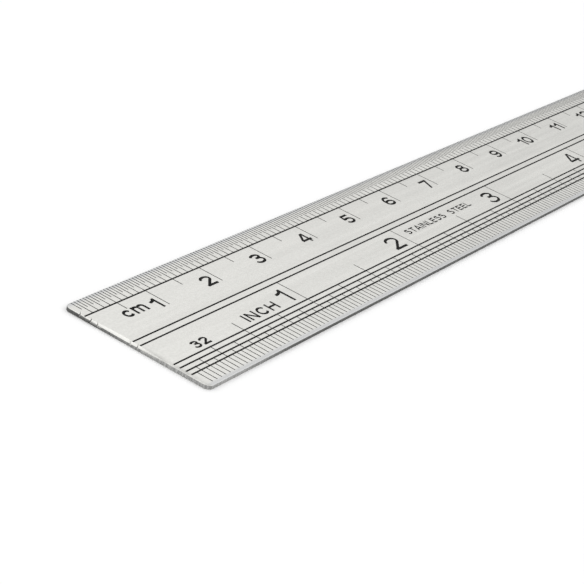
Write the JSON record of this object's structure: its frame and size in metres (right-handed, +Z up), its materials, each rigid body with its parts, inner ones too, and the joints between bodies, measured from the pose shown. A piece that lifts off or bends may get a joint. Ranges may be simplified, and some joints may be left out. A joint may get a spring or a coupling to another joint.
{
  "type": "steel ruler",
  "caption": "Thin flexible stainless ruler with black enamelled metric and inch scales along opposite edges, one square end at zero and one round end with a hang hole.",
  "frame": {"origin": "under the middle of the blade, on the surface that it rests on", "axes": "+X along the scales, away from their zero; +Y to the metric edge; +Z up, out of the marked face"},
  "size_m": [0.175, 0.019, 0.0005],
  "materials": {
    "steel": "fine satin stainless steel, brushed along the blade, with burnished edges",
    "enamel": "black enamel that fills the etched lines, ticks and numerals"
  },
  "bodies": {
    "root": {"blade": "steel", "metric_scale": "enamel", "inch_scale": "enamel", "centre_line": "enamel", "inch_division_1": "enamel", "inch_division_2": "enamel", "inch_numeral_1": "enamel", "inch_numeral_2": "enamel", "inch_numeral_3": "enamel", "inch_numeral_4": "enamel", "inch_numeral_5": "enamel", "inch_numeral_6": "enamel", "inch_unit_1": "enamel", "inch_unit_2": "enamel", "inch_unit_3": "enamel", "inch_unit_4": "enamel", "mark_stainless_1": "enamel", "mark_stainless_2": "enamel", "mark_stainless_3": "enamel", "mark_stainless_4": "enamel", "mark_stainless_5": "enamel", "mark_stainless_6": "enamel", "mark_stainless_7": "enamel", "mark_stainless_8": "enamel", "mark_stainless_9": "enamel", "mark_steel_1": "enamel", "mark_steel_2": "enamel", "mark_steel_3": "enamel", "mark_steel_4": "enamel", "mark_steel_5": "enamel", "metric_numeral_1": "enamel", "metric_numeral_2": "enamel", "metric_numeral_3": "enamel", "metric_numeral_4": "enamel", "metric_numeral_5": "enamel", "metric_numeral_6": "enamel", "metric_numeral_7": "enamel", "metric_numeral_8": "enamel", "metric_numeral_9": "enamel", "metric_numeral_10_1": "enamel", "metric_numeral_10_2": "enamel", "metric_numeral_11_1": "enamel", "metric_numeral_11_2": "enamel", "metric_numeral_12_1": "enamel", "metric_numeral_12_2": "enamel", "metric_numeral_13_1": "enamel", "metric_numeral_13_2": "enamel", "metric_numeral_14_1": "enamel", "metric_numeral_14_2": "enamel", "metric_numeral_15_1": "enamel", "metric_numeral_15_2": "enamel", "metric_unit_1": "enamel", "metric_unit_2": "enamel"}
  },
  "joints": []
}
